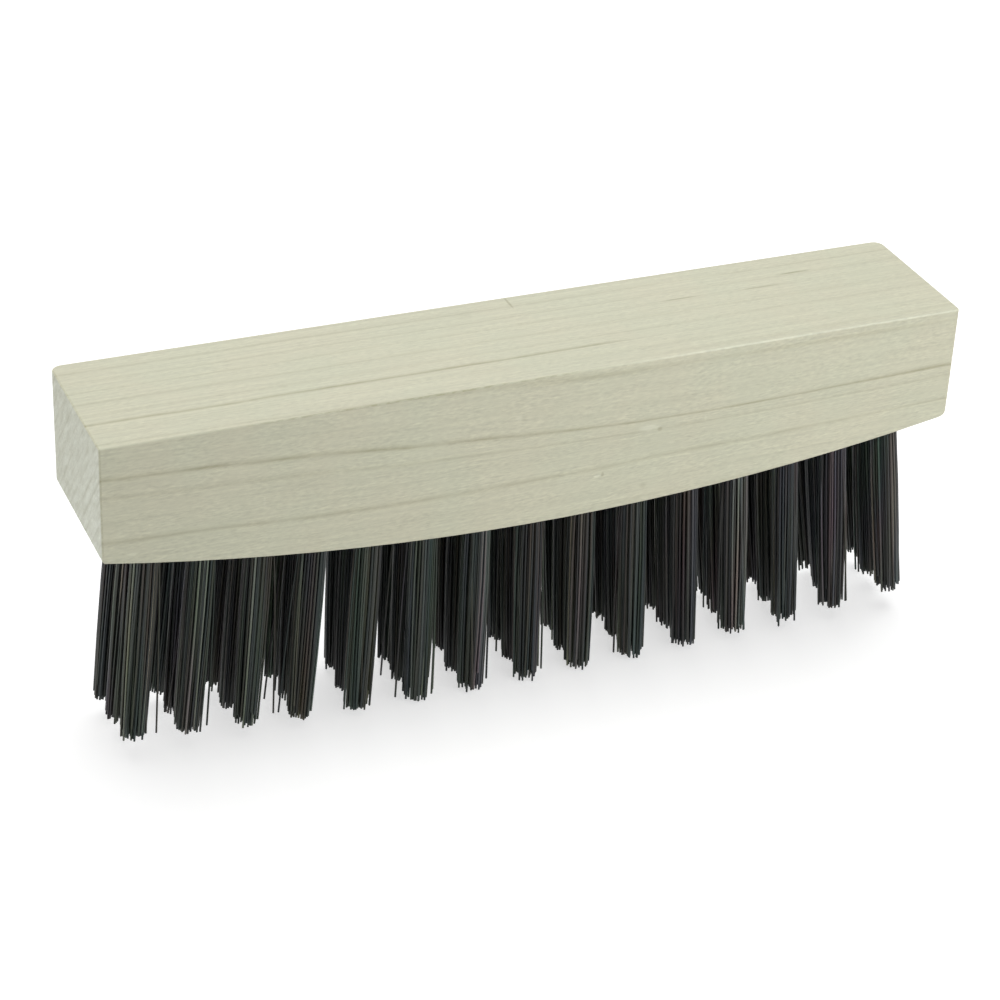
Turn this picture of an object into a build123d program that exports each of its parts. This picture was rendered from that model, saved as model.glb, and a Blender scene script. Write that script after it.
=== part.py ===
"""A hand wire brush without a handle.

A bar of pale wood is flat on its top, sides and ends, and bowed on its underside. Three rows
of blind holes are drilled into the bow, fanned out towards the two ends. Each hole holds one tuft of
straight steel wire. The wires are folded in half over the crown of a small U-shaped staple, and the
staple's two legs are driven into the wood under the bottom of the hole.

The brush stands on its wire tips as it is used. X runs along the block, Y across it, from the front
row to the back row, and Z is up. The origin is on the surface that the tips stand on, under the
middle of the block. Every size is in millimetres or degrees.
"""

from build123d import *

import math
import os
from random import Random

# The block.
block_length = 170.0
block_width = 32.0
end_height = 22.9  # from the flat top down to where the bow meets an end face
bow_drop = 7.7  # how much deeper the middle is than the ends
left_foot_radius = 0.8  # rounding between the left end face and the bow
right_foot_radius = 2.2  # the same on the right, where it is sanded harder
front_left_corner_radius = 0.4  # rounding of an upright corner of the bar
front_right_corner_radius = 1.0
back_corner_radius = 2.1  # of both upright corners at the back
top_arris_radius = 0.35  # rounding all round the flat top

# The pattern of holes.
row_names = ("front", "middle", "back")
holes_per_row = 15
end_margin = 9.9  # along the bow, from an end face to the axis of the nearest hole
pattern_shift = 0.5  # the whole pattern lies this much nearer to the right end
side_margin = 8.5  # from a side of the block to the axes of the nearest row
hole_diameter = 5.0
hole_depth = 11.0
fan_radius = 590.0  # the holes of a row aim at a point about this far above their mouths
drill_lean = 1.0  # how far all the holes lean together, with their mouths to the right
row_splay = 0.63  # how far an outer row leans away from the middle row

# The tufts.
free_length = 40.0  # from the bow's lowest point to the mean height of the tips there
trim_radius = 770.0  # the tips are trimmed to an arc of this radius along the brush
long_strand = 1.3  # the longest strands pass the mean of the tips by this much
short_strand = 0.9  # the shortest ones fall short of it by this much
flat_cut = 0.5  # the longest strands in the middle are cut flat by this much to stand on
root_clearance = 0.05  # between the packed root of a tuft and the wall of its hole
root_recess = 0.3  # the packed root ends this far inside the hole's mouth
strand_seat = 1.5  # how deep a strand is rooted in the packed root
strand_gap = 0.2  # the least gap between neighbouring strands where they leave the root
tip_spread = 1.15  # a tuft is this many times as wide at its tips as at its root
tip_wander = 0.12  # how far a tip strays sideways from its place in the tuft
strand_seed = 45  # picks the lengths and the straying of the strands

# The staples.
staple_wire = 0.9
staple_side_gap = 0.5  # between a staple's leg and the wall of the hole
fold_height = 1.0  # of the folded wires between the hole's bottom and the staple's arch
leg_bite = 5.0  # how deep the legs go into the wood under the hole

# The strands of a tuft stand in three staggered lines. The numbers are the places of the strands
# along each line, counted in strand pitches from the middle of the tuft.
strand_lines = (
    (-1.0, 0.0, 1.0),
    (-1.5, -0.5, 0.5, 1.5),
    (-1.0, 0.0, 1.0),
)

# Sizes that follow from those above.
half_length = block_length / 2
half_width = block_width / 2
bow_radius = (half_length**2 + bow_drop**2) / (2 * bow_drop)
tip_height = long_strand - flat_cut
bow_bottom = tip_height + free_length
foot_height = bow_bottom + bow_drop
top_height = foot_height + end_height
bow_half_arc = bow_radius * math.asin(half_length / bow_radius)
hole_pitch = 2 * (bow_half_arc - end_margin) / (holes_per_row - 1)
row_pitch = 2 * (half_width - side_margin) / (len(row_names) - 1)
hole_radius = hole_diameter / 2
root_radius = hole_radius - root_clearance
strand_pitch = root_radius / 2
line_pitch = strand_pitch * math.sqrt(3) / 2
strand_width = line_pitch - strand_gap
staple_leg_place = hole_radius - staple_side_gap - staple_wire / 2


def from_middle(index, count):
    """How many places index lies from the middle of count places."""
    return index - (count - 1) / 2


def hole_frame(row, column):
    """The plane across a hole's mouth, with its z axis pointing out of the wood."""
    along = from_middle(column, holes_per_row) * hole_pitch + pattern_shift
    rows_out = from_middle(row, len(row_names))
    turn = along / bow_radius
    lean = along / fan_radius + math.radians(drill_lean)
    mouth = Vector(
        bow_radius * math.sin(turn),
        rows_out * row_pitch,
        bow_bottom + bow_radius * (1 - math.cos(turn)),
    )
    outwards = Vector(math.sin(lean), rows_out * math.tan(math.radians(row_splay)), -math.cos(lean))
    return Plane(origin=mouth, x_dir=(math.cos(lean), 0, math.sin(lean)), z_dir=outwards)


def trimmed_height(x):
    """The mean height of the tips at a place along the brush."""
    return tip_height + trim_radius - math.sqrt(trim_radius**2 - x**2)


def strand(frame, along, across, chance):
    """One strand of a tuft, as long as chance makes it, from inside the packed root to its tip."""
    root = frame.from_local_coords(Vector(along, across, -root_recess - strand_seat))
    tip = frame.from_local_coords(
        Vector(
            along * tip_spread + chance.uniform(-tip_wander, tip_wander),
            across * tip_spread + chance.uniform(-tip_wander, tip_wander),
            free_length,
        )
    )
    direction = (tip - root).normalized()
    tip_wanted = trimmed_height(tip.X) - chance.uniform(-short_strand, long_strand)
    length = (tip - root).length + (tip.Z - tip_wanted) / abs(direction.Z)
    return Plane(origin=root, x_dir=frame.x_dir, z_dir=direction) * Box(
        strand_width,
        strand_width,
        length,
        align=(Align.CENTER, Align.CENTER, Align.MIN),
    )


def tuft_strands(frame, chance):
    """All the strands of one tuft."""
    strands = []
    for line, places in enumerate(strand_lines):
        across = from_middle(line, len(strand_lines)) * line_pitch
        for place in places:
            strands.append(strand(frame, place * strand_pitch, across, chance))
    return strands


rows_of_frames = [
    [hole_frame(row, column) for column in range(holes_per_row)]
    for row in range(len(row_names))
]
all_frames = [frame for frames in rows_of_frames for frame in frames]

# One staple as it sits in a hole's frame. Its arch lies inside the fold of the wires, and its legs
# go through the bottom of the hole into the wood.
arch_foot = staple_wire / 2 + fold_height - hole_depth
leg_tip = -hole_depth - leg_bite
with BuildPart() as staple:
    with BuildLine(Plane.XZ):
        Line((-staple_leg_place, leg_tip), (-staple_leg_place, arch_foot))
        RadiusArc(
            (-staple_leg_place, arch_foot),
            (staple_leg_place, arch_foot),
            staple_leg_place,
        )
        Line((staple_leg_place, arch_foot), (staple_leg_place, leg_tip))
    with BuildSketch(Plane.XY.offset(leg_tip)):
        with Locations((-staple_leg_place, 0)):
            Circle(staple_wire / 2)
    sweep()

# The block is its side view pushed out both ways, with its upright corners rounded to its plan. The
# holes are drilled from a little outside the bow, which slants under the drill towards the ends,
# and the staples are driven in.
left_foot = (-half_length, foot_height)
right_foot = (half_length, foot_height)
left_top = (-half_length, top_height)
right_top = (half_length, top_height)
foot_radii = (
    (left_foot, left_foot_radius),
    (right_foot, right_foot_radius),
)
corner_radii = (
    ((-half_length, -half_width), front_left_corner_radius),
    ((half_length, -half_width), front_right_corner_radius),
    ((-half_length, half_width), back_corner_radius),
    ((half_length, half_width), back_corner_radius),
)
with BuildPart() as block:
    with BuildSketch(Plane.XZ) as side_view:
        with BuildLine():
            Polyline(left_foot, left_top, right_top, right_foot)
            ThreePointArc(right_foot, (0, bow_bottom), left_foot)
        make_face()
        for corner, radius in foot_radii:
            fillet(side_view.vertices().sort_by_distance(corner)[0], radius)
    extrude(amount=half_width, both=True)
    with BuildSketch() as plan:
        Rectangle(block_length, block_width)
        for corner, radius in corner_radii:
            fillet(plan.vertices().sort_by_distance(corner)[0], radius)
    extrude(amount=top_height, mode=Mode.INTERSECT)
    fillet(block.faces().sort_by(Axis.Z)[-1].edges(), top_arris_radius)
    with Locations(*[frame.offset(hole_radius) for frame in all_frames]):
        Hole(hole_radius, hole_depth + hole_radius)
    with Locations(*all_frames):
        add(staple.part, mode=Mode.SUBTRACT)

os.makedirs("parts", exist_ok=True)
block.part.label = "block"
export_step(block.part, "parts/block.step")

# The tufts. Each has a packed root that fills its hole round the staple, and strands that rise from
# the root. The longest strands are cut flat where the brush stands on them.
chance = Random(strand_seed)
for row_name, frames in zip(row_names, rows_of_frames):
    for number, frame in enumerate(frames, start=1):
        strands = tuft_strands(frame, chance)
        with BuildPart() as tuft:
            with BuildSketch(frame.offset(-hole_depth)):
                Circle(root_radius)
            extrude(amount=hole_depth - root_recess)
            add(strands)
            with Locations(frame):
                add(staple.part, mode=Mode.SUBTRACT)
            with Locations((frame.origin.X, frame.origin.Y, 0)):
                Box(
                    2 * hole_pitch,
                    2 * row_pitch,
                    2 * long_strand,
                    align=(Align.CENTER, Align.CENTER, Align.MAX),
                    mode=Mode.SUBTRACT,
                )
        tuft.part.label = f"tuft_{row_name}_{number:02d}"
        export_step(tuft.part, f"parts/{tuft.part.label}.step")

# The staples of one row are alike and share one file, as separate solids.
for row_name, frames in zip(row_names, rows_of_frames):
    with BuildPart() as row_of_staples:
        with Locations(*frames):
            add(staple.part)
    row_of_staples.part.label = f"staples_{row_name}"
    export_step(row_of_staples.part, f"parts/{row_of_staples.part.label}.step")
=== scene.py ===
import math

import bpy
from mathutils import Euler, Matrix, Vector


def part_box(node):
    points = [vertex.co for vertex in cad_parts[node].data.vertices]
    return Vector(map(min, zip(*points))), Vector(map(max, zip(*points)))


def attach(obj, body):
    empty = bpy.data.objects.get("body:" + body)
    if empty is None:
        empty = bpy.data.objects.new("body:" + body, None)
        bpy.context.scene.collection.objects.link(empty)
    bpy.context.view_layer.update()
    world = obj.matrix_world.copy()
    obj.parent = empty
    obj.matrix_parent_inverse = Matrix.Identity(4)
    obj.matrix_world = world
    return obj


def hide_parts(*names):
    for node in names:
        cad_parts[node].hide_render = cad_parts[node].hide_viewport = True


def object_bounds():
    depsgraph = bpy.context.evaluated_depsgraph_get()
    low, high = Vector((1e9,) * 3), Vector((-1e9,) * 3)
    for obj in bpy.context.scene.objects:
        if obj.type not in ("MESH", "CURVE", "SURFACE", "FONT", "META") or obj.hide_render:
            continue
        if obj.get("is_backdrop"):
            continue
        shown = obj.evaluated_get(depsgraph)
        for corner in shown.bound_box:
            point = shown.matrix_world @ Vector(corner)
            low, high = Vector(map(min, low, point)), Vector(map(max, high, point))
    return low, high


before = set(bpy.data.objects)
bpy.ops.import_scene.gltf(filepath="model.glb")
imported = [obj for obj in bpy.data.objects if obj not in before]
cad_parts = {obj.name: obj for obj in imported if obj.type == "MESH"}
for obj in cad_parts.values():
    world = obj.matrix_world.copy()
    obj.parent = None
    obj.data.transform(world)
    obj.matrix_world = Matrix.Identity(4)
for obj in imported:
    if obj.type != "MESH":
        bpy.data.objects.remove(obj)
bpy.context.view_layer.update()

# ------------------------------------------------------------------------------------------------
# The block: a bar of birch, planed on its top and sides, sawn to length and left raw. Its grain
# runs along the bar, and its growth rings sink from the front side towards the back. Its arrises
# are broken with a touch of sandpaper, and its upright corners more so at the back.
# ------------------------------------------------------------------------------------------------

mm = 0.001
block_low, block_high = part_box("block")

# Growth rings, placed by where they meet the front side at the left end, in millimetres below the
# top. A ring with a negative place meets the top instead. Each has how dark its late wood is on
# the left half of the bar, on the right half and on the sawn ends.
rings_in_top = (
    (-36.0, 0.30, 0.30, 0.60),
    (-32.2, 0.75, 0.65, 0.60),
    (-27.6, 0.50, 0.45, 0.70),
    (-23.6, 0.60, 0.30, 0.60),
    (-20.9, 0.05, 0.25, 0.50),
    (-18.6, 0.65, 0.55, 0.80),
    (-13.6, 0.45, 0.45, 0.70),
    (-9.9, 2.20, 0.15, 0.80),
    (-6.6, 0.25, 0.25, 0.70),
)
rings_in_front = (
    (-4.3, 0.05, 0.50, 0.60),
    (-1.7, 0.70, 0.00, 0.70),
    (2.6, 0.10, 0.10, 0.80),
    (6.2, 1.75, 2.00, 0.90),
    (9.9, 0.65, 0.80, 0.70),
    (14.6, 0.05, 0.20, 0.60),
    (19.0, 1.10, 1.00, 0.80),
    (23.4, 0.05, 0.10, 0.40),
    (27.2, 0.25, 0.60, 0.40),
)
ring_slant = 1.15  # how far a ring sinks for each millimetre towards the back
ring_drift = 0.65  # how far a ring wanders from its course at most, in millimetres
late_wood_width = 1.75  # millimetres from the start of the dark line to its end
late_wood_sharpness = 1.7  # 1 is a soft line, and more has a thinner core
left_half_ends = 8.0  # millimetres along the bar from its middle
right_half_starts = 26.0

# Flecks of pith, small bruises, a short check and, last, two stretches of a ring that skims the
# front arris. Each has its middle and its half sizes along the bar, in from the front side and down
# from the top, in millimetres, and how dark it is.
marks = (
    ((35.4, 21.0, 0.0), (4.6, 0.28, 1.0), 1.60),
    ((52.6, 20.7, 0.0), (5.6, 0.25, 1.0), 1.50),
    ((61.7, 24.4, 0.0), (3.9, 0.32, 1.0), 2.00),
    ((3.4, 29.6, 0.0), (0.3, 2.9, 1.0), 1.60),
    ((-6.8, 27.2, 0.0), (2.2, 1.7, 1.0), 0.25),
    ((-47.8, 11.5, 0.0), (1.0, 0.7, 1.0), 0.45),
    ((20.0, 0.0, 14.4), (2.5, 1.0, 0.8), -0.90),
    ((22.3, 0.0, 15.0), (0.6, 1.0, 0.55), 1.10),
    ((11.0, 0.0, 22.7), (0.35, 1.0, 0.6), 1.20),
    ((9.9, 0.0, 22.9), (0.9, 1.0, 0.35), -1.20),
    ((19.6, 0.0, 26.7), (0.9, 1.0, 0.6), 0.60),
    ((-6.6, 0.0, 7.6), (0.8, 1.0, 0.6), -0.50),
    ((-5.6, 0.0, 8.2), (0.6, 1.0, 0.35), 0.50),
    ((31.7, 0.0, 14.3), (0.3, 1.0, 0.8), -0.40),
    ((-55.2, 0.0, 16.0), (0.3, 1.0, 1.3), -0.30),
    ((-79.6, 0.0, 22.0), (1.1, 1.0, 0.4), -0.50),
    ((13.0, 0.0, 1.65), (25.0, 1.0, 0.6), 0.50),
    ((57.0, 0.0, 1.90), (33.0, 1.0, 0.6), 0.75),
)


def colour(hex_code):
    """An sRGB hex value as linear red, green, blue and alpha."""
    channels = [int(hex_code[place : place + 2], 16) / 255 for place in (0, 2, 4)]
    linear = [c / 12.92 if c <= 0.04045 else ((c + 0.055) / 1.055) ** 2.4 for c in channels]
    return (*linear, 1.0)


def add(tree, kind, inputs=(), **properties):
    """Adds a node. Each input gets a value, a socket, or the first output of another node."""
    node = tree.nodes.new(kind)
    for name, value in properties.items():
        setattr(node, name, value)
    for name, value in dict(inputs).items():
        if isinstance(value, bpy.types.Node):
            value = value.outputs[0]
        if isinstance(value, bpy.types.NodeSocket):
            tree.links.new(value, node.inputs[name])
        else:
            node.inputs[name].default_value = value
    return node


# Planed birch: cream, close and faintly fibrous. The eye gets thin grey-brown lines of late wood,
# a dull even sheen, and fine fibres that catch the light along the grain.
birch = bpy.data.materials.new("planed_birch")
birch.use_nodes = True
tree = birch.node_tree
shader = tree.nodes["Principled BSDF"]
object_place = add(tree, "ShaderNodeTexCoord").outputs["Object"]
# Millimetres along the bar from its middle, in from the front side and up from the top.
in_mm = add(
    tree,
    "ShaderNodeMapping",
    {"Vector": object_place, "Scale": [1 / mm] * 3, "Location": (0, -block_low.y / mm, -block_high.z / mm)},
)
axes = add(tree, "ShaderNodeSeparateXYZ", {0: in_mm})
along, inward, rise = axes.outputs
depth = add(tree, "ShaderNodeMath", {0: rise, 1: -1.0}, operation="MULTIPLY")
slanted = add(tree, "ShaderNodeMath", {0: inward, 1: -ring_slant, 2: depth}, operation="MULTIPLY_ADD")

# The rings dip along the front side. Each curve gives how much deeper a ring lies, in tens of
# millimetres, by its share of the way along the bar: first for shallow rings, then for deep ones.
# The shallow dip grows from nothing over the top, and gives way to the deep one lower down.
dip_unit = 10.0
dip_starts = -8.0
dip_is_full = 10.0
deep_dip_starts = 12.0
deep_dip_is_full = 20.0
share_along = add(
    tree,
    "ShaderNodeMapRange",
    {"Value": along, "From Min": block_low.x / mm, "From Max": block_high.x / mm},
)
dips = []
for low_points in (
    ((0.0, 0.0), (0.24, 0.24), (0.5, 0.57), (0.72, 0.72), (0.86, 0.62), (1.0, 0.57)),
    ((0.0, 0.0), (0.12, 0.07), (0.32, 0.25), (0.5, 0.23), (0.76, 0.13), (1.0, -0.03)),
):
    dip = add(tree, "ShaderNodeFloatCurve", {"Value": share_along})
    dip.mapping.clip_min_y = -1.0
    curve = dip.mapping.curves[0]
    curve.points[0].location = low_points[0]
    curve.points[1].location = low_points[-1]
    for point in low_points[1:-1]:
        curve.points.new(*point)
    dip.mapping.update()
    dips.append(dip)
shallow_dip = add(
    tree,
    "ShaderNodeMapRange",
    {"Value": slanted, "From Min": dip_starts, "From Max": dip_is_full, "To Max": dip_unit},
)
shallow_dip = add(tree, "ShaderNodeMath", {0: shallow_dip, 1: dips[0]}, operation="MULTIPLY")
deep_dip = add(tree, "ShaderNodeMath", {0: dips[1], 1: dip_unit}, operation="MULTIPLY")
how_deep = add(
    tree,
    "ShaderNodeMapRange",
    {"Value": slanted, "From Min": deep_dip_starts, "From Max": deep_dip_is_full},
)
dip = add(tree, "ShaderNodeMix", {0: how_deep, 2: shallow_dip, 3: deep_dip}, data_type="FLOAT")
ring = add(tree, "ShaderNodeMath", {0: slanted, 1: dip}, operation="SUBTRACT")

# They also wander a little. This pattern and the others each have a size in millimetres along the
# bar or the grain, and two across it.
drift_size = (24.0, 8.0, 8.0)
drift_place = add(tree, "ShaderNodeMapping", {"Vector": in_mm, "Scale": [1 / s for s in drift_size]})
drift = add(tree, "ShaderNodeTexNoise", {"Vector": drift_place, "Scale": 1.0, "Detail": 4.0})
drift = add(
    tree, "ShaderNodeMath", {0: drift, 1: 2 * ring_drift, 2: -ring_drift}, operation="MULTIPLY_ADD"
)
ring = add(tree, "ShaderNodeMath", {0: ring, 1: drift}, operation="ADD")
# The grain follows the rings: along the bar, through the rings, and down along them. The slide
# sets neighbouring fibres off from each other, so that their ends don't line up.
down_rings = add(tree, "ShaderNodeMath", {0: inward, 1: 1 / ring_slant, 2: depth}, operation="MULTIPLY_ADD")
slide = add(tree, "ShaderNodeMath", {0: ring, 1: 0.5, 2: along}, operation="MULTIPLY_ADD")
slide = add(tree, "ShaderNodeMath", {0: down_rings, 1: 0.3, 2: slide}, operation="MULTIPLY_ADD")
grain = add(tree, "ShaderNodeCombineXYZ", {0: slide, 1: ring, 2: down_rings})

late_woods = []
for rings in (rings_in_top, rings_in_front):
    first = rings[0][0] - late_wood_width
    last = rings[-1][0] + late_wood_width
    ring_share = add(
        tree, "ShaderNodeMapRange", {"Value": ring, "From Min": first, "From Max": last}
    )
    ramp = add(tree, "ShaderNodeValToRGB", {0: ring_share})
    stops = ramp.color_ramp.elements
    stops[0].color = (0, 0, 0, 1)
    stops[1].color = (0, 0, 0, 1)
    for ring_place, *dark in rings:
        for offset, part in ((-0.6, 0.0), (0.0, 1.0), (0.4, 0.0)):
            stop_place = ring_place + offset * late_wood_width
            stop = stops.new((stop_place - first) / (last - first))
            stop.color = (*[part * share ** (1 / late_wood_sharpness) for share in dark], 1)
    late_woods.append(ramp)
late_wood = add(
    tree, "ShaderNodeVectorMath", {0: late_woods[0], 1: late_woods[1]}, operation="MAXIMUM"
)
late_wood = add(
    tree, "ShaderNodeVectorMath", {0: late_wood, 1: [late_wood_sharpness] * 3}, operation="POWER"
)
left, right, sawn = add(tree, "ShaderNodeSeparateXYZ", {0: late_wood}).outputs
right_half = add(
    tree,
    "ShaderNodeMapRange",
    {"Value": along, "From Min": left_half_ends, "From Max": right_half_starts},
    interpolation_type="SMOOTHSTEP",
)
late = add(tree, "ShaderNodeMix", {0: right_half, 2: left, 3: right}, data_type="FLOAT")
# A line of late wood pales and darkens along its length.
paling_size = (9.0, 2.5, 2.5)
paling_place = add(tree, "ShaderNodeMapping", {"Vector": in_mm, "Scale": [1 / s for s in paling_size]})
paling = add(tree, "ShaderNodeTexNoise", {"Vector": paling_place, "Scale": 1.0, "Detail": 2.0})
paling = add(
    tree,
    "ShaderNodeMapRange",
    {"Value": paling, "From Min": 0.3, "From Max": 0.6, "To Min": 0.55, "To Max": 1.15},
)
late = add(tree, "ShaderNodeMath", {0: late, 1: paling}, operation="MULTIPLY")
# The sawn ends show every ring, and the saw has torn them into streaks across the fibres.
faces = add(tree, "ShaderNodeTexCoord").outputs["Normal"]
face_axes = add(tree, "ShaderNodeSeparateXYZ", {0: faces}).outputs
end_facing = add(tree, "ShaderNodeMath", {0: face_axes[0]}, operation="ABSOLUTE")
on_end = add(tree, "ShaderNodeMapRange", {"Value": end_facing, "From Min": 0.75, "From Max": 0.95})
tear_size = (1.8, 6.0, 1.0)  # through the rings, down along them, and along the bar, where it is flat
tear_place = add(tree, "ShaderNodeCombineXYZ", {0: slanted, 1: down_rings})
tear_place = add(tree, "ShaderNodeMapping", {"Vector": tear_place, "Scale": [1 / s for s in tear_size]})
tear = add(tree, "ShaderNodeTexNoise", {"Vector": tear_place, "Scale": 1.0, "Detail": 4.0})
tear = add(
    tree,
    "ShaderNodeMapRange",
    {"Value": tear, "From Min": 0.35, "From Max": 0.65, "To Min": -0.6, "To Max": 0.6},
)
sawn = add(tree, "ShaderNodeMath", {0: sawn, 1: tear}, operation="ADD")
# They darken a little from the front foot up to the back of the top: painted shade.
end_shading = 0.018  # for each millimetre
sawn = add(tree, "ShaderNodeMath", {0: inward, 1: end_shading, 2: sawn}, operation="MULTIPLY_ADD")
sawn = add(tree, "ShaderNodeMath", {0: depth, 1: -end_shading, 2: sawn}, operation="MULTIPLY_ADD")
late = add(tree, "ShaderNodeMix", {0: on_end, 2: late, 3: sawn}, data_type="FLOAT")

# Fibres are nearly half a millimetre wide here, drawn coarser than real ones so that they show.
fibre_size = (1.3, 0.45, 0.45)
fibre_place = add(tree, "ShaderNodeMapping", {"Vector": grain, "Scale": [1 / s for s in fibre_size]})
fibre = add(tree, "ShaderNodeTexNoise", {"Vector": fibre_place, "Scale": 1.0, "Detail": 2.0})

# On the right half the front arris of the top is painted paler, a painted highlight where the rounded
# arris catches the light. On the left half it is torn dark here and there. The curve gives how much, by the
# share of the way along the bar.
arris_highlight_starts = 8.0
arris_highlight_is_full = 30.0
here_and_there = add(
    tree,
    "ShaderNodeMapRange",
    {"Value": fibre, "From Min": 0.42, "From Max": 0.6, "To Min": 0.1, "To Max": 2.2},
)
torn = add(tree, "ShaderNodeFloatCurve", {"Value": share_along})
curve = torn.mapping.curves[0]
curve.points[0].location = (0.0, 0.1)
curve.points[1].location = (1.0, 0.0)
for point in ((0.14, 0.3), (0.22, 0.75), (0.5, 0.75), (0.55, 0.0)):
    curve.points.new(*point)
torn.mapping.update()
# Painted highlight: the arris is made paler towards the right end of the bar.
painted_arris_highlight = add(
    tree,
    "ShaderNodeMapRange",
    {"Value": along, "From Min": arris_highlight_starts, "From Max": arris_highlight_is_full, "To Max": -1.25},
)
# The torn dark flecks and the painted highlight together.
torn_and_highlit = add(
    tree, "ShaderNodeMath", {0: torn, 1: here_and_there, 2: painted_arris_highlight}, operation="MULTIPLY_ADD"
)
arris = add(tree, "ShaderNodeMath", {0: face_axes[1], 1: face_axes[2]}, operation="MULTIPLY")
arris = add(tree, "ShaderNodeMapRange", {"Value": arris, "From Min": -0.05, "From Max": -0.4})
late = add(tree, "ShaderNodeMath", {0: arris, 1: torn_and_highlit, 2: late}, operation="MULTIPLY_ADD")
# The saw has browned the arrises of the ends a little.
squared = add(tree, "ShaderNodeMath", {0: end_facing, 1: end_facing}, operation="MULTIPLY")
scorch = add(tree, "ShaderNodeMath", {0: end_facing, 1: squared}, operation="SUBTRACT")
scorch = add(tree, "ShaderNodeMath", {0: scorch, 1: here_and_there}, operation="MULTIPLY")
late = add(tree, "ShaderNodeMath", {0: scorch, 1: 2.0, 2: late}, operation="MULTIPLY_ADD")

# The marks are soft-edged spots, darker or paler than the wood round them.
darkness = late
for middle, half_sizes, mark_darkness in marks:
    spot_place = add(
        tree,
        "ShaderNodeMapping",
        {
            "Vector": in_mm,
            "Location": [sign * m / h for sign, m, h in zip((-1, -1, 1), middle, half_sizes)],
            "Scale": [1 / h for h in half_sizes],
        },
    )
    spot = add(tree, "ShaderNodeVectorMath", {0: spot_place}, operation="LENGTH").outputs["Value"]
    spot = add(
        tree,
        "ShaderNodeMapRange",
        {"Value": spot, "From Min": 1.15, "From Max": 0.35, "To Max": mark_darkness},
        interpolation_type="SMOOTHSTEP",
    )
    darkness = add(tree, "ShaderNodeMath", {0: darkness, 1: spot}, operation="ADD")

# Short dark pores lie among the fibres.
pore_size = (1.6, 0.3, 0.3)
pore_place = add(tree, "ShaderNodeMapping", {"Vector": grain, "Scale": [1 / s for s in pore_size]})
pore = add(tree, "ShaderNodeTexNoise", {"Vector": pore_place, "Scale": 1.0, "Detail": 1.0})
pores = add(
    tree,
    "ShaderNodeMapRange",
    {"Value": pore, "From Min": 0.66, "From Max": 0.8, "To Max": 0.7},
)
darkness = add(tree, "ShaderNodeMath", {0: darkness, 1: pores}, operation="ADD")

# The plane left some patches smooth and others rough, and the top the smoothest. The fibres show
# most in the rough ones.
patch_size = (9.0, 3.0, 3.0)
patch_place = add(tree, "ShaderNodeMapping", {"Vector": in_mm, "Scale": [1 / s for s in patch_size]})
patch = add(tree, "ShaderNodeTexNoise", {"Vector": patch_place, "Scale": 1.0, "Detail": 2.0})
unevenness = add(
    tree,
    "ShaderNodeMapRange",
    {"Value": patch, "From Min": 0.38, "From Max": 0.62, "To Min": 0.22, "To Max": 0.46},
)
on_top = add(
    tree, "ShaderNodeMapRange", {"Value": face_axes[2], "To Min": 1.0, "To Max": 0.8}
)
unevenness = add(tree, "ShaderNodeMath", {0: unevenness, 1: on_top}, operation="MULTIPLY")
fibre_tone = add(tree, "ShaderNodeMath", {0: fibre, 1: 0.5}, operation="SUBTRACT")
fibre_tone = add(
    tree, "ShaderNodeMath", {0: fibre_tone, 1: unevenness, 2: 1.0}, operation="MULTIPLY_ADD"
)

# Long streaks run with the grain, and the cream is warmer in some clouds than in others.
streak_size = (50.0, 0.8, 0.8)
streak_place = add(tree, "ShaderNodeMapping", {"Vector": grain, "Scale": [1 / s for s in streak_size]})
streak = add(tree, "ShaderNodeTexNoise", {"Vector": streak_place, "Scale": 1.0, "Detail": 3.0})
streak_tone = add(
    tree,
    "ShaderNodeMapRange",
    {"Value": streak, "From Min": 0.3, "From Max": 0.7, "To Min": 0.95, "To Max": 1.05},
)
tone = add(tree, "ShaderNodeMath", {0: fibre_tone, 1: streak_tone}, operation="MULTIPLY")
cloud_size = 16.0
cloud = add(tree, "ShaderNodeTexNoise", {"Vector": in_mm, "Scale": 1 / cloud_size, "Detail": 3.0})
warmth = add(
    tree,
    "ShaderNodeMapRange",
    {"Value": cloud, "From Min": 0.35, "From Max": 0.65},
    interpolation_type="SMOOTHSTEP",
)
plain_wood = add(
    tree,
    "ShaderNodeMix",
    {0: warmth, 6: colour("CFCFB8"), 7: colour("D1CFB8")},
    data_type="RGBA",
)
# The sawn ends are greyer and cooler: partly the end grain's own tone, partly painted cool light from the
# left.
sawn_wood_and_cool_light = add(
    tree,
    "ShaderNodeMix",
    {0: on_end, 6: plain_wood.outputs[2], 7: colour("CACCBD")},
    data_type="RGBA",
)
toned_wood = add(
    tree,
    "ShaderNodeVectorMath",
    {0: sawn_wood_and_cool_light.outputs[2], "Scale": tone},
    operation="SCALE",
)
# Late wood and dark marks are greyer than the cream round them: they take away this share of its
# red, green and blue.
darkness_takes = (0.145, 0.154, 0.19)
shade = add(
    tree,
    "ShaderNodeVectorMath",
    {0: darkness, 1: [-share for share in darkness_takes], 2: (1.0, 1.0, 1.0)},
    operation="MULTIPLY_ADD",
)
shaded_wood = add(tree, "ShaderNodeVectorMath", {0: toned_wood, 1: shade}, operation="MULTIPLY")
tree.links.new(shaded_wood.outputs[0], shader.inputs["Base Color"])
shader.inputs["Roughness"].default_value = 0.6
shader.inputs["Specular IOR Level"].default_value = 0.25
# The fibres stand up and the dark spots are sunk, both by less than a tenth of a millimetre.
relief_height = 0.08 * mm
relief = add(tree, "ShaderNodeMath", {0: darkness, 1: -0.5, 2: fibre}, operation="MULTIPLY_ADD")
bump = add(tree, "ShaderNodeBump", {"Strength": 0.4, "Distance": relief_height, "Height": relief})
tree.links.new(bump.outputs[0], shader.inputs["Normal"])

for material_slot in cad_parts["block"].material_slots:
    material_slot.material = birch

# ------------------------------------------------------------------------------------------------
# The wire tufts. Each is a bundle of straight, dark drawn steel wires, folded in half and held in
# its hole by a staple, then trimmed with the others to one gentle arc along the brush.
# ------------------------------------------------------------------------------------------------

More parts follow.
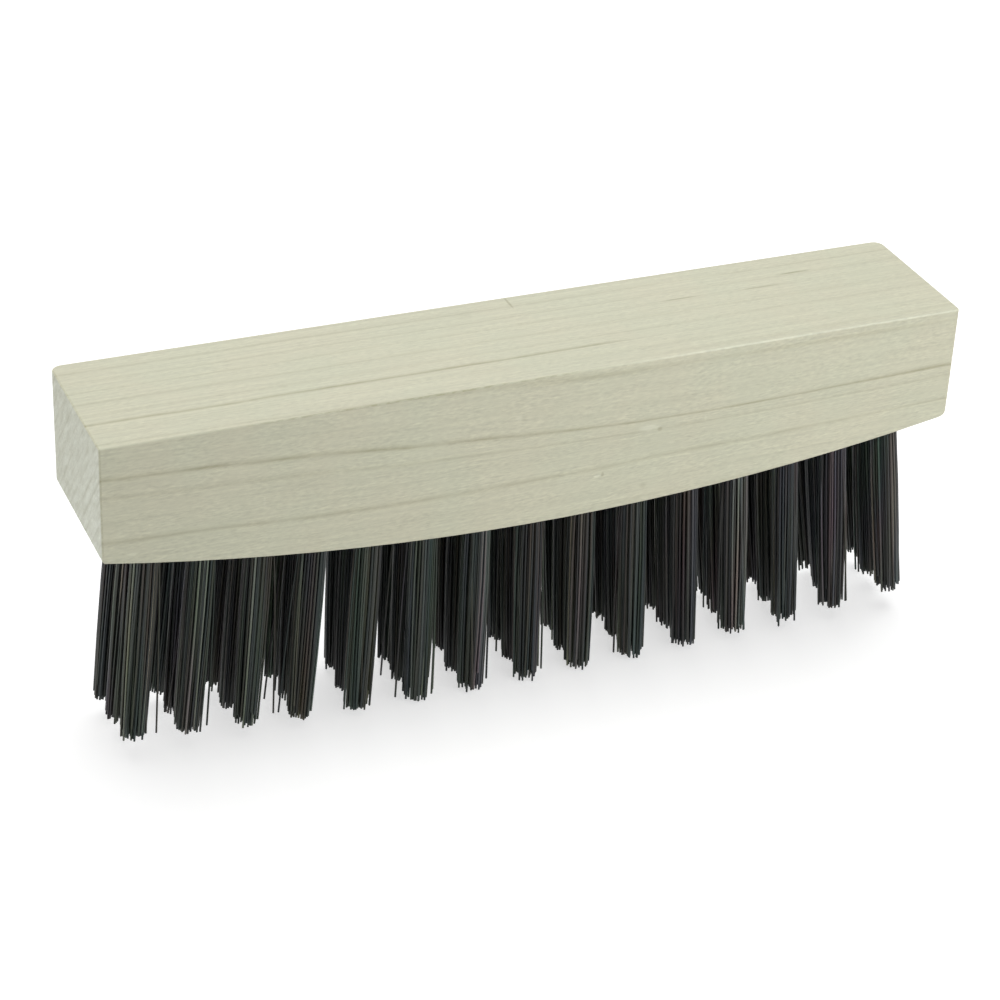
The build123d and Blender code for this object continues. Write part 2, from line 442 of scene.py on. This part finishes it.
scene = bpy.context.scene
row_names = ("front", "middle", "back")
holes_per_row = 15
hole_pitch = 10.79 * mm  # along the bow
pattern_shift = 0.5 * mm  # the whole pattern lies this much nearer to the right end
row_pitch = 7.5 * mm
hole_depth = 11.0 * mm
bow_radius = 473.0 * mm
bow_bottom = block_low.z
fan_radius = 590.0 * mm  # the holes of a row aim at a point about this far above their mouths
drill_lean = math.radians(1.0)  # how far all the holes lean together, with their mouths to the right
# How much shorter than the mean use has worn a row, in millimetres.
worn_tips = {"front": 0.2, "middle": -0.5, "back": -0.6}
# How far use has pushed the tips of each tuft of a row to the right, in millimetres.
pushed_tips = {
    "front": (1.1, 0.1, 0.1, -0.7, -0.4, 0.2, -0.3, 0.0, -0.3, -0.3, -0.2, -0.7, -0.9, -1.3, 0.0),
    "middle": (0.4, 0.4, -0.3, 0.2, 0.4, 0.1, 0.1, 0.7, 0.2, 0.6, 0.4, 0.6, 0.0, 0.7, 0.4),
    "back": (0.2, -0.9, -0.8, 0.1, 0.7, 0.3, 0.6, 0.7, 1.4, 0.6, 0.6, 1.4, 1.3, 1.8, 1.4),
}
# One wire of some tufts has sprung out of line. By the tuft's number, this is how far its tip has
# sprung to the right, in millimetres.
sprung_tips = {
    "front": {1: 3.3, 2: 1.9, 3: 3.4, 4: -2.4, 6: 1.3, 7: 1.4, 8: 1.4, 10: -1.0, 12: -1.4},
    "middle": {4: -3.2, 6: -2.4, 15: -1.2},
    "back": {},
}

mean_tip_height = 0.8 * mm
straying_power = 14.0  # the higher, the fewer wires stray
shortfall_power = 9.0  # the higher, the fewer wires fall short
# What the tree for one tuft is given. The wires start this deep in the hole, at "Seat", and pass the
# wood at "Mouth". Their tips lie within "Reach" of the middle of the brush, along it.
tuft_sizes = {
    "Mouth": ("NodeSocketVector", (0.0, 0.0, 0.0)),
    "Outwards": ("NodeSocketVector", (0.0, 0.0, -1.0)),
    "Push": ("NodeSocketVector", (0.0, 0.0, 0.0)),
    "Wires": ("NodeSocketInt", 104),
    "Wire Radius": ("NodeSocketFloat", 0.2 * mm),
    "Packed Radius": ("NodeSocketFloat", 2.29 * mm),
    "Tip Spread": ("NodeSocketFloat", 0.02),
    "Seat": ("NodeSocketFloat", hole_depth - 2 * mm),
    "Free Length": ("NodeSocketFloat", 40.0 * mm),
    "Tip Height": ("NodeSocketFloat", mean_tip_height),
    "Trim Radius": ("NodeSocketFloat", 770.0 * mm),
    "Trim Slope": ("NodeSocketFloat", -0.005),
    "Unevenness": ("NodeSocketFloat", 0.9 * mm),
    "Shortfall": ("NodeSocketFloat", 3.5 * mm),
    "Wander": ("NodeSocketFloat", 0.32 * mm),
    "Straying": ("NodeSocketFloat", 2.2 * mm),
    "Reach": ("NodeSocketFloat", 83.8 * mm),
    "Bulge": ("NodeSocketFloat", 0.38 * mm),
    "Sprung": ("NodeSocketFloat", 0.0),
    "Sprung Root": ("NodeSocketFloat", 1.8 * mm),
    "Seed": ("NodeSocketInt", 0),
    "Material": ("NodeSocketMaterial", None),
}
tufting = bpy.data.node_groups.new("wire_tuft", "GeometryNodeTree")
tufting.is_modifier = True
tufting.interface.new_socket("Geometry", in_out="OUTPUT", socket_type="NodeSocketGeometry")
tufting.interface.new_socket("Hole", in_out="INPUT", socket_type="NodeSocketGeometry")
for name, (socket_kind, value) in tuft_sizes.items():
    socket = tufting.interface.new_socket(name, in_out="INPUT", socket_type=socket_kind)
    if value is not None:
        socket.default_value = value
given = add(tufting, "NodeGroupInput").outputs

# Every wire draws its own random numbers, and each draw has its own seed.
draws = {}
for draw, (name, low, high) in enumerate(
    (
        ("jitter", 0.9, 1.1),
        ("wander way", 0.0, 2 * math.pi),
        ("wander", 0.0, 1.0),
        ("straying", 0.0, 1.0),
        ("straying way", 0.0, 2 * math.pi),
        ("unevenness", -1.0, 1.0),
        ("shortfall", 0.0, 1.0),
        ("roll", -0.8, 0.8),
        ("tint", 0.0, 1.0),
    )
):
    seed = add(tufting, "ShaderNodeMath", {0: given["Seed"], 1: float(draw)}, operation="ADD")
    draws[name] = add(
        tufting, "FunctionNodeRandomValue", {2: low, 3: high, "Seed": seed}, data_type="FLOAT"
    ).outputs[1]

# The wires are packed in a spiral that fills the hole evenly.
golden_angle = math.pi * (3 - math.sqrt(5))
index = add(tufting, "GeometryNodeInputIndex")
counted = add(tufting, "ShaderNodeMath", {0: index, 1: 0.5}, operation="ADD")
part = add(tufting, "ShaderNodeMath", {0: counted, 1: given["Wires"]}, operation="DIVIDE")
part = add(tufting, "ShaderNodeMath", {0: part}, operation="SQRT")
distance = add(tufting, "ShaderNodeMath", {0: part, 1: given["Packed Radius"]}, operation="MULTIPLY")
turn = add(tufting, "ShaderNodeMath", {0: index, 1: golden_angle}, operation="MULTIPLY")
turn = add(tufting, "ShaderNodeMath", {0: turn, 1: draws["jitter"]}, operation="ADD")
in_hole = add(tufting, "ShaderNodeCombineXYZ", {0: distance})
in_hole = add(tufting, "ShaderNodeVectorRotate", {"Vector": in_hole, "Angle": turn}, rotation_type="Z_AXIS")
hole_turn = add(tufting, "FunctionNodeAlignRotationToVector", {"Vector": given["Outwards"]}, axis="Z")
packed = add(tufting, "FunctionNodeRotateVector", {0: in_hole, 1: hole_turn})
# The last one is the wire that has sprung out of line, from the side of the hole that it leans to.
last = add(tufting, "ShaderNodeMath", {0: given["Wires"], 1: 1.0}, operation="SUBTRACT")
is_last = add(tufting, "ShaderNodeMath", {0: index, 1: last, 2: 0.5}, operation="COMPARE")
side = add(tufting, "ShaderNodeMath", {0: given["Sprung"]}, operation="SIGN")
side = add(tufting, "ShaderNodeMath", {0: side, 1: given["Sprung Root"]}, operation="MULTIPLY")
side = add(tufting, "ShaderNodeCombineXYZ", {0: side})
packed = add(
    tufting, "ShaderNodeMix", {0: is_last, 4: packed, 5: side}, data_type="VECTOR"
).outputs[1]
root = add(tufting, "ShaderNodeVectorMath", {0: given["Mouth"], 1: packed}, operation="ADD")
sunk = add(
    tufting, "ShaderNodeVectorMath", {0: given["Outwards"], "Scale": given["Seat"]}, operation="SCALE"
)
root = add(tufting, "ShaderNodeVectorMath", {0: root, 1: sunk}, operation="SUBTRACT")

# Towards its tip each wire spreads away from the middle of the tuft and wanders a little, and one
# wire in twenty or so strays further.
aim = add(
    tufting,
    "ShaderNodeVectorMath",
    {0: given["Outwards"], "Scale": given["Free Length"]},
    operation="SCALE",
)
aim = add(tufting, "ShaderNodeVectorMath", {0: aim, 1: given["Mouth"]}, operation="ADD")
aim = add(tufting, "ShaderNodeVectorMath", {0: aim, 1: given["Push"]}, operation="ADD")
spread = add(tufting, "ShaderNodeMath", {0: given["Tip Spread"], 1: 1.0}, operation="ADD")
spread = add(tufting, "ShaderNodeVectorMath", {0: packed, "Scale": spread}, operation="SCALE")
aim = add(tufting, "ShaderNodeVectorMath", {0: aim, 1: spread}, operation="ADD")
for name, reach, power in (("wander", "Wander", 1.0), ("straying", "Straying", straying_power)):
    shift = add(tufting, "ShaderNodeMath", {0: draws[name], 1: power}, operation="POWER")
    shift = add(tufting, "ShaderNodeMath", {0: shift, 1: given[reach]}, operation="MULTIPLY")
    shift = add(tufting, "ShaderNodeCombineXYZ", {0: shift})
    shift = add(
        tufting,
        "ShaderNodeVectorRotate",
        {"Vector": shift, "Angle": draws[name + " way"]},
        rotation_type="Z_AXIS",
    )
    aim = add(tufting, "ShaderNodeVectorMath", {0: aim, 1: shift}, operation="ADD")
sprung = add(tufting, "ShaderNodeMath", {0: is_last, 1: given["Sprung"]}, operation="MULTIPLY")
sprung = add(tufting, "ShaderNodeCombineXYZ", {0: sprung})
aim = add(tufting, "ShaderNodeVectorMath", {0: aim, 1: sprung}, operation="ADD")
aim_axes = add(tufting, "ShaderNodeSeparateXYZ", {0: aim}).outputs
aim_along = add(tufting, "ShaderNodeMath", {0: aim_axes[0], 1: given["Reach"]}, operation="MINIMUM")
aim = add(tufting, "ShaderNodeCombineXYZ", {0: aim_along, 1: aim_axes[1], 2: aim_axes[2]})
direction = add(tufting, "ShaderNodeVectorMath", {0: aim, 1: root}, operation="SUBTRACT")
direction = add(tufting, "ShaderNodeVectorMath", {0: direction}, operation="NORMALIZE")

# The tips are trimmed to an arc, each a little above or below it, and none under the floor. A few
# wires are well short.
tip_height = add(tufting, "ShaderNodeMath", {0: aim_along, 1: aim_along}, operation="MULTIPLY")
tip_height = add(tufting, "ShaderNodeMath", {0: tip_height, 1: given["Trim Radius"]}, operation="DIVIDE")
tip_height = add(
    tufting, "ShaderNodeMath", {0: tip_height, 1: 0.5, 2: given["Tip Height"]}, operation="MULTIPLY_ADD"
)
tip_height = add(
    tufting,
    "ShaderNodeMath",
    {0: aim_along, 1: given["Trim Slope"], 2: tip_height},
    operation="MULTIPLY_ADD",
)
tip_height = add(
    tufting,
    "ShaderNodeMath",
    {0: draws["unevenness"], 1: given["Unevenness"], 2: tip_height},
    operation="MULTIPLY_ADD",
)
short = add(
    tufting, "ShaderNodeMath", {0: draws["shortfall"], 1: shortfall_power}, operation="POWER"
)
tip_height = add(
    tufting,
    "ShaderNodeMath",
    {0: short, 1: given["Shortfall"], 2: tip_height},
    operation="MULTIPLY_ADD",
)
lowest_tip = 0.05 * mm
tip_height = add(tufting, "ShaderNodeMath", {0: tip_height, 1: lowest_tip}, operation="MAXIMUM")
root_height = add(tufting, "ShaderNodeSeparateXYZ", {0: root}).outputs[2]
steepness = add(tufting, "ShaderNodeSeparateXYZ", {0: direction}).outputs[2]
length = add(tufting, "ShaderNodeMath", {0: tip_height, 1: root_height}, operation="SUBTRACT")
length = add(tufting, "ShaderNodeMath", {0: length, 1: steepness}, operation="DIVIDE")

# One wire of unit length is drawn out to each wire's own length. It bulges away from the middle
# of the tuft, because the wires spring apart where the wood lets go of them.
rings_per_wire = 5
sides_per_wire = 6
axis = add(tufting, "GeometryNodeCurvePrimitiveLine", {"Start": (0, 0, 0), "End": (0, 0, 1)})
axis = add(tufting, "GeometryNodeResampleCurve", {"Curve": axis, "Count": rings_per_wire})
factor = add(tufting, "GeometryNodeSplineParameter").outputs["Factor"]
bulge = add(tufting, "ShaderNodeMath", {0: factor, 1: math.pi}, operation="MULTIPLY")
bulge = add(tufting, "ShaderNodeMath", {0: bulge}, operation="SINE")
bulge = add(tufting, "ShaderNodeMath", {0: bulge, 1: given["Bulge"]}, operation="MULTIPLY")
bulge = add(tufting, "ShaderNodeCombineXYZ", {0: bulge})
axis = add(tufting, "GeometryNodeSetPosition", {"Geometry": axis, "Offset": bulge})
outline = add(
    tufting,
    "GeometryNodeCurvePrimitiveCircle",
    {"Resolution": sides_per_wire, "Radius": given["Wire Radius"]},
)
one_wire = add(
    tufting,
    "GeometryNodeCurveToMesh",
    {"Curve": axis, "Profile Curve": outline, "Fill Caps": True},
)
roots = add(tufting, "GeometryNodePoints", {"Count": given["Wires"], "Position": root})
roots = add(
    tufting,
    "GeometryNodeStoreNamedAttribute",
    {"Geometry": roots, "Name": "wire_tint", "Value": draws["tint"]},
    data_type="FLOAT",
    domain="POINT",
)
wire_turn = add(tufting, "FunctionNodeAlignRotationToVector", {"Vector": direction}, axis="Z")
wire_turn = add(
    tufting,
    "FunctionNodeAlignRotationToVector",
    {"Rotation": wire_turn, "Vector": packed},
    axis="X",
    pivot_axis="Z",
)
roll = add(tufting, "FunctionNodeAxisAngleToRotation", {"Axis": (0, 0, 1), "Angle": draws["roll"]})
wire_turn = add(
    tufting, "FunctionNodeRotateRotation", {0: wire_turn, 1: roll}, rotation_space="LOCAL"
)
stretch = add(tufting, "ShaderNodeCombineXYZ", {0: 1.0, 1: 1.0, 2: length})
wires = add(
    tufting,
    "GeometryNodeInstanceOnPoints",
    {"Points": roots, "Instance": one_wire, "Rotation": wire_turn, "Scale": stretch},
)
wires = add(tufting, "GeometryNodeRealizeInstances", {0: wires})
wires = add(tufting, "GeometryNodeSetMaterial", {"Geometry": wires, "Material": given["Material"]})
add(tufting, "NodeGroupOutput", {0: wires})

# Drawn steel under a thin oxide skin, which hides most of the metal's shine: nearly black where no
# light reaches, with a soft bright line along each wire, and wires that differ a little in tone.
wire_tones = (
    (0.0, "262A29"),
    (0.3, "2F3536"),
    (0.5, "363A33"),
    (0.65, "3B3934"),
    (0.85, "484E4D"),
    (1.0, "74756B"),
)
steel = bpy.data.materials.new("drawn_steel_wire")
steel.use_nodes = True
tree = steel.node_tree
shader = tree.nodes["Principled BSDF"]
tint = add(tree, "ShaderNodeAttribute", attribute_name="wire_tint").outputs["Fac"]
tones = add(tree, "ShaderNodeValToRGB", {0: tint})
stops = tones.color_ramp.elements
stops[0].color = colour(wire_tones[0][1])
stops[1].color = colour(wire_tones[-1][1])
for place, tone in wire_tones[1:-1]:
    stops.new(place).color = colour(tone)
# Wires from one coil stand together and share a tinge: blue, brown, olive or violet.
tinge_size = (4 * mm, 4 * mm, 90 * mm)
tinge_place = add(
    tree,
    "ShaderNodeMapping",
    {
        "Vector": add(tree, "ShaderNodeTexCoord").outputs["Object"],
        "Scale": [1 / s for s in tinge_size],
    },
)
tinge = add(tree, "ShaderNodeTexNoise", {"Vector": tinge_place, "Scale": 1.0, "Detail": 1.0})
tinge = add(
    tree,
    "ShaderNodeVectorMath",
    {0: tinge.outputs["Color"], 1: [0.9] * 3, 2: [0.55] * 3},
    operation="MULTIPLY_ADD",
)
tinged = add(tree, "ShaderNodeVectorMath", {0: tones, 1: tinge}, operation="MULTIPLY")
tree.links.new(tinged.outputs[0], shader.inputs["Base Color"])
shader.inputs["Metallic"].default_value = 0.15
shader.inputs["Roughness"].default_value = 0.4
shader.inputs["Specular IOR Level"].default_value = 0.3

# The seeds of two tufts lie further apart than the draws of one.
first_seed = 1007
seeds_per_row = 1000
seeds_per_tuft = 20
input_ids = {
    item.name: item.identifier
    for item in tufting.interface.items_tree
    if item.in_out == "INPUT"
}
for row, row_name in enumerate(row_names):
    rows_out = row - (len(row_names) - 1) / 2
    for hole in range(holes_per_row):
        arc = (hole - (holes_per_row - 1) / 2) * hole_pitch + pattern_shift
        turn = arc / bow_radius
        lean = arc / fan_radius + drill_lean
        mouth = Vector(
            (
                bow_radius * math.sin(turn),
                rows_out * row_pitch,
                bow_bottom + bow_radius * (1 - math.cos(turn)),
            )
        )
        outwards = Vector((math.sin(lean), 0.0, -math.cos(lean)))
        name = f"wires_{row_name}_{hole + 1:02d}"
        tuft = bpy.data.objects.new(name, bpy.data.meshes.new(name + "_hole"))
        scene.collection.objects.link(tuft)
        modifier = tuft.modifiers.new("wire_tuft", "NODES")
        modifier.node_group = tufting
        modifier[input_ids["Mouth"]] = mouth
        modifier[input_ids["Outwards"]] = outwards.normalized()
        modifier[input_ids["Push"]] = (pushed_tips[row_name][hole] * mm, 0.0, 0.0)
        modifier[input_ids["Tip Height"]] = mean_tip_height + worn_tips[row_name] * mm
        modifier[input_ids["Sprung"]] = sprung_tips[row_name].get(hole + 1, 0.0) * mm
        modifier[input_ids["Seed"]] = first_seed + seeds_per_row * row + seeds_per_tuft * hole
        modifier[input_ids["Material"]] = steel
        evaluated = tuft.evaluated_get(bpy.context.evaluated_depsgraph_get())
        grown = bpy.data.meshes.new_from_object(evaluated)
        tuft.modifiers.remove(modifier)
        tuft.data = grown
        grown.name = name
        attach(tuft, "root")
        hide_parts(f"tuft_{row_name}_{hole + 1:02d}")

# ------------------------------------------------------------------------------------------------
# The staples. Each is a short piece of plain steel wire, bent to a U and driven into the wood under
# its tuft, so none of them shows.
# ------------------------------------------------------------------------------------------------

# Plain drawn steel: light grey and clean, because it never meets the air, with faint streaks along
# the legs where the wire was pulled through its die.
die_streak_size = (0.15 * mm, 0.15 * mm, 6 * mm)
staple_steel = bpy.data.materials.new("plain_drawn_steel")
staple_steel.use_nodes = True
tree = staple_steel.node_tree
shader = tree.nodes["Principled BSDF"]
streak_place = add(
    tree,
    "ShaderNodeMapping",
    {
        "Vector": add(tree, "ShaderNodeTexCoord").outputs["Object"],
        "Scale": [1 / s for s in die_streak_size],
    },
)
streak = add(tree, "ShaderNodeTexNoise", {"Vector": streak_place, "Scale": 1.0, "Detail": 2.0})
streaked = add(
    tree,
    "ShaderNodeMix",
    {0: streak, 6: colour("A3A3A1"), 7: colour("C2C2BF")},
    data_type="RGBA",
)
tree.links.new(streaked.outputs[2], shader.inputs["Base Color"])
shader.inputs["Metallic"].default_value = 1.0
shader.inputs["Roughness"].default_value = 0.35

for row_name in row_names:
    for material_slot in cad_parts[f"staples_{row_name}"].material_slots:
        material_slot.material = staple_steel

# ------------------------------------------------------------------------------------------------
# The studio: a white table in a white room, with a large soft lamp above and four smaller ones
# round the brush.
# ------------------------------------------------------------------------------------------------

table_half = 4.0  # metres from the middle of the table to its edges
glow_near = 0.6
glow_far = 1.0
shade_ends = 0.15  # metres from the brush, where the table starts to glow more
lamps_end = 0.7  # metres from the brush, past which the lamps hardly reach
floor_mesh = bpy.data.meshes.new("floor")
corners = [(x * table_half, y * table_half, 0) for x, y in ((-1, -1), (1, -1), (1, 1), (-1, 1))]
floor_mesh.from_pydata(corners, [], [(0, 1, 2, 3)])
floor = bpy.data.objects.new("floor", floor_mesh)
scene.collection.objects.link(floor)
table = bpy.data.materials.new("white_table")
table.use_nodes = True
tree = table.node_tree
shader = tree.nodes["Principled BSDF"]
shader.inputs["Base Color"].default_value = colour("D0D0D0")
shader.inputs["Roughness"].default_value = 0.9
shader.inputs["Specular IOR Level"].default_value = 0.0
# The camera, metal and glass see the table as white: it glows for them, and most where the lamps
# don't reach. The wood is lit only by what the table reflects.
path = add(tree, "ShaderNodeLightPath").outputs
seen = add(
    tree, "ShaderNodeMath", {0: path["Is Camera Ray"], 1: path["Is Glossy Ray"]}, operation="MAXIMUM"
)
seen = add(tree, "ShaderNodeMath", {0: seen, 1: path["Is Transmission Ray"]}, operation="MAXIMUM")
table_place = add(tree, "ShaderNodeTexCoord").outputs["Object"]
far = add(tree, "ShaderNodeVectorMath", {0: table_place}, operation="LENGTH").outputs["Value"]
white_glow = add(
    tree,
    "ShaderNodeMapRange",
    {
        "Value": far,
        "From Min": shade_ends,
        "From Max": lamps_end,
        "To Min": glow_near,
        "To Max": glow_far,
    },
)
glow = add(tree, "ShaderNodeMath", {0: seen, 1: white_glow}, operation="MULTIPLY")
glow = add(tree, "ShaderNodeEmission", {"Color": (1, 1, 1, 1), "Strength": glow})
both = add(tree, "ShaderNodeAddShader", {0: shader, 1: glow})
tree.links.new(both.outputs[0], tree.nodes["Material Output"].inputs[0])
floor_mesh.materials.append(table)
floor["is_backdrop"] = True

room = bpy.data.worlds.new("white_room")
scene.world = room
room.use_nodes = True
tree = room.node_tree
path = add(tree, "ShaderNodeLightPath").outputs
seen = add(
    tree, "ShaderNodeMath", {0: path["Is Camera Ray"], 1: path["Is Glossy Ray"]}, operation="MAXIMUM"
)
seen = add(tree, "ShaderNodeMath", {0: seen, 1: path["Is Transmission Ray"]}, operation="MAXIMUM")
soft = add(tree, "ShaderNodeBackground", {"Color": (1, 1, 1, 1), "Strength": 0.15})
white = add(tree, "ShaderNodeBackground", {"Color": (1, 1, 1, 1), "Strength": 1.0})
pick = add(tree, "ShaderNodeMixShader", {0: seen, 1: soft, 2: white})
tree.links.new(pick.outputs[0], tree.nodes["World Output"].inputs[0])

# Each lamp has its name, its place and its width in metres, and its power in watts. They all shine
# at the middle of the brush.
lamps_aim = Vector((0.0, 0.0, 0.05))
lamps = (
    ("top_lamp", (0.1, 0.2, 1.2), 1.0, 10.9),
    ("left_lamp", (-0.7, 0.03, 0.12), 0.4, 2.3),
    ("front_lamp", (0.08, -0.25, 0.1), 0.2, 0.225),
    ("right_lamp", (0.6, -0.45, 0.06), 0.25, 1.95),
    ("back_lamp", (0.2, 0.6, 0.25), 0.4, 0.8),
)
for name, place, size, power in lamps:
    light = bpy.data.lights.new(name, "AREA")
    light.size = size
    light.energy = power
    lamp = bpy.data.objects.new(name, light)
    lamp.location = place
    shining = lamps_aim - lamp.location
    lamp.rotation_euler = shining.to_track_quat("-Z", "Y").to_euler()
    lamp.visible_camera = False
    scene.collection.objects.link(lamp)

# The camera stands where the picture of the brush was taken from.
camera_data = bpy.data.cameras.new("camera")
camera_data.lens = 102.75
camera_data.clip_start = 0.01
camera = bpy.data.objects.new("camera", camera_data)
scene.collection.objects.link(camera)
camera_azimuth = math.radians(24.083)
camera_elevation = math.radians(30.669)
camera_roll = math.radians(2.722)
camera.location = (-0.19403, -0.42859, 0.24369 + block_high.z)
turned = Euler((0, 0, -camera_azimuth)).to_matrix()
tilted = Euler((math.pi / 2 - camera_elevation, 0, 0)).to_matrix()
rolled = Euler((0, 0, camera_roll)).to_matrix()
camera.rotation_euler = (turned @ tilted @ rolled).to_euler()
scene.camera = camera
scene.view_settings.view_transform = "Standard"

low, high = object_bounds()
